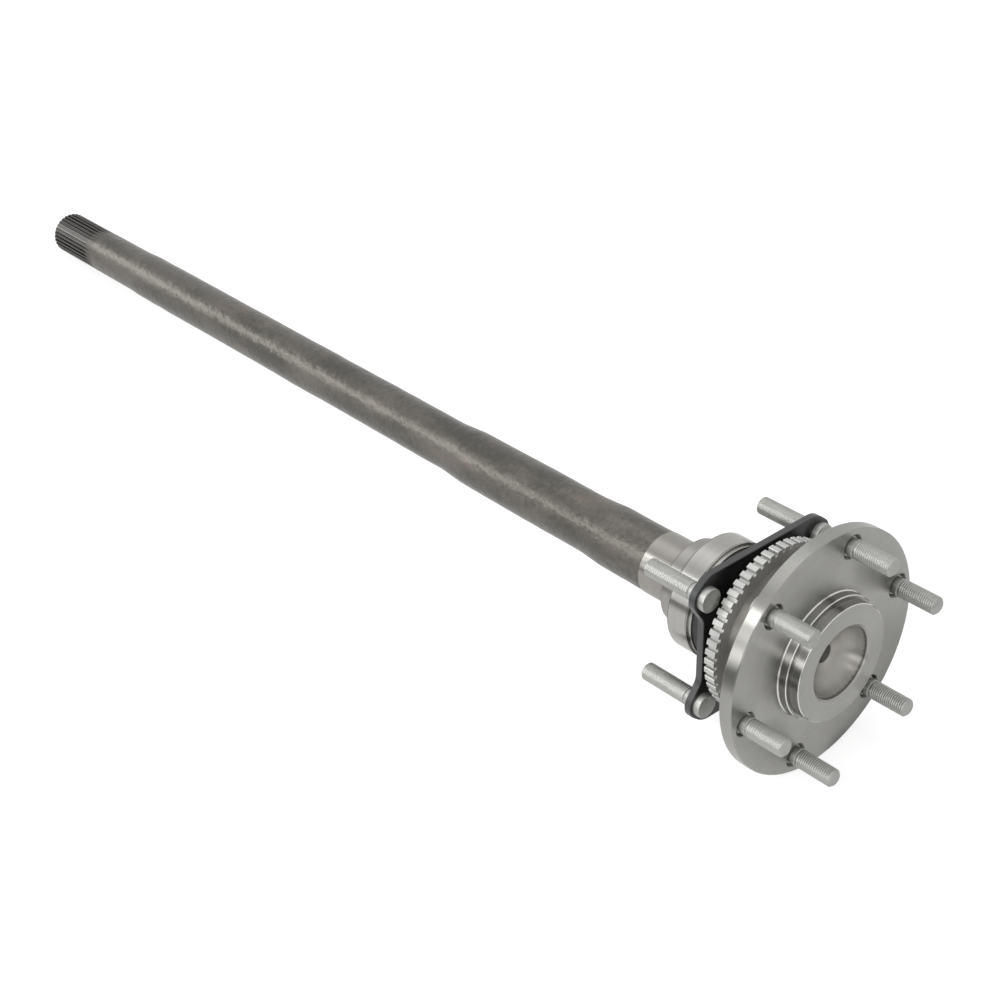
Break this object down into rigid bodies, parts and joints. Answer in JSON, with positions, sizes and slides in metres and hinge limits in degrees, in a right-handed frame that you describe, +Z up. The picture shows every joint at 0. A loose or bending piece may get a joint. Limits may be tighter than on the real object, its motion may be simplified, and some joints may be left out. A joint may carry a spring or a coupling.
{
  "type": "rear axle shaft",
  "caption": "Splined rear axle shaft with a wheel flange, wheel studs, a toothed speed ring and a ball bearing held by a bolted retainer plate.",
  "frame": {"origin": "centre of the flange's wheel face, on the shaft's axis", "axes": "+X along the shaft's axis, from the splined end out to the wheel; +Z up, square to the retainer plate's long top edge"},
  "size_m": [0.8812, 0.1636, 0.1636],
  "materials": {
    "forged_steel": "dark forging scale, with ground and turned seats",
    "turned_steel": "fine turned",
    "bearing_steel": "ground and polished",
    "shield_steel": "rolled sheet",
    "cage_steel": "pressed sheet",
    "plated_fasteners": "matt pale zinc",
    "plated_ring": "bright pale zinc",
    "black_plate": "satin black",
    "coated_case": "black rubber coat on steel",
    "seal_rubber": "matt"
  },
  "bodies": {
    "retainer": {"bearing_outer_ring": "turned_steel", "bearing_shield_inboard": "shield_steel", "bearing_shield_outboard": "shield_steel", "seal_case": "coated_case", "seal_lip": "seal_rubber", "seal_spring": "bearing_steel", "retainer_plate": "black_plate", "retainer_bolts": "plated_fasteners"},
    "shaft": {"axle_shaft": "forged_steel", "wheel_studs": "plated_fasteners", "tone_ring": "plated_ring", "bearing_inner_ring": "bearing_steel", "retaining_collar": "turned_steel"},
    "cage": {"cage_half_inboard": "cage_steel", "cage_half_outboard": "cage_steel", "cage_rivets": "cage_steel"},
    "rolling_ball_1": {"ball_1": "bearing_steel"},
    "rolling_ball_2": {"ball_2": "bearing_steel"},
    "rolling_ball_3": {"ball_3": "bearing_steel"},
    "rolling_ball_4": {"ball_4": "bearing_steel"},
    "rolling_ball_5": {"ball_5": "bearing_steel"},
    "rolling_ball_6": {"ball_6": "bearing_steel"},
    "rolling_ball_7": {"ball_7": "bearing_steel"},
    "rolling_ball_8": {"ball_8": "bearing_steel"},
    "rolling_ball_9": {"ball_9": "bearing_steel"}
  },
  "joints": [
    {"name": "shaft_spin", "type": "hinge", "parent": "retainer", "child": "shaft", "pos_m": [-0.0823, 0, 0], "axis": [1, 0, 0], "continuous": true},
    {"name": "cage_spin", "type": "hinge", "parent": "retainer", "child": "cage", "pos_m": [-0.0823, 0, 0], "axis": [1, 0, 0], "continuous": true},
    {"name": "ball_1_spin", "type": "hinge", "parent": "cage", "child": "rolling_ball_1", "pos_m": [-0.0823, 0.03105, 0], "axis": [1, 0, 0], "continuous": true},
    {"name": "ball_2_spin", "type": "hinge", "parent": "cage", "child": "rolling_ball_2", "pos_m": [-0.0823, 0.02379, 0.01996], "axis": [1, 0, 0], "continuous": true},
    {"name": "ball_3_spin", "type": "hinge", "parent": "cage", "child": "rolling_ball_3", "pos_m": [-0.0823, 0.00539, 0.03058], "axis": [1, 0, 0], "continuous": true},
    {"name": "ball_4_spin", "type": "hinge", "parent": "cage", "child": "rolling_ball_4", "pos_m": [-0.0823, -0.01553, 0.02689], "axis": [1, 0, 0], "continuous": true},
    {"name": "ball_5_spin", "type": "hinge", "parent": "cage", "child": "rolling_ball_5", "pos_m": [-0.0823, -0.02918, 0.01062], "axis": [1, 0, 0], "continuous": true},
    {"name": "ball_6_spin", "type": "hinge", "parent": "cage", "child": "rolling_ball_6", "pos_m": [-0.0823, -0.02918, -0.01062], "axis": [1, 0, 0], "continuous": true},
    {"name": "ball_7_spin", "type": "hinge", "parent": "cage", "child": "rolling_ball_7", "pos_m": [-0.0823, -0.01553, -0.02689], "axis": [1, 0, 0], "continuous": true},
    {"name": "ball_8_spin", "type": "hinge", "parent": "cage", "child": "rolling_ball_8", "pos_m": [-0.0823, 0.00539, -0.03058], "axis": [1, 0, 0], "continuous": true},
    {"name": "ball_9_spin", "type": "hinge", "parent": "cage", "child": "rolling_ball_9", "pos_m": [-0.0823, 0.02379, -0.01996], "axis": [1, 0, 0], "continuous": true}
  ],
  "couplings": [
    {"joint": "cage_spin", "follows": "shaft_spin", "ratio": 0.41063},
    {"joint": "ball_1_spin", "follows": "shaft_spin", "ratio": -2.7079},
    {"joint": "ball_2_spin", "follows": "shaft_spin", "ratio": -2.7079},
    {"joint": "ball_3_spin", "follows": "shaft_spin", "ratio": -2.7079},
    {"joint": "ball_4_spin", "follows": "shaft_spin", "ratio": -2.7079},
    {"joint": "ball_5_spin", "follows": "shaft_spin", "ratio": -2.7079},
    {"joint": "ball_6_spin", "follows": "shaft_spin", "ratio": -2.7079},
    {"joint": "ball_7_spin", "follows": "shaft_spin", "ratio": -2.7079},
    {"joint": "ball_8_spin", "follows": "shaft_spin", "ratio": -2.7079},
    {"joint": "ball_9_spin", "follows": "shaft_spin", "ratio": -2.7079}
  ]
}
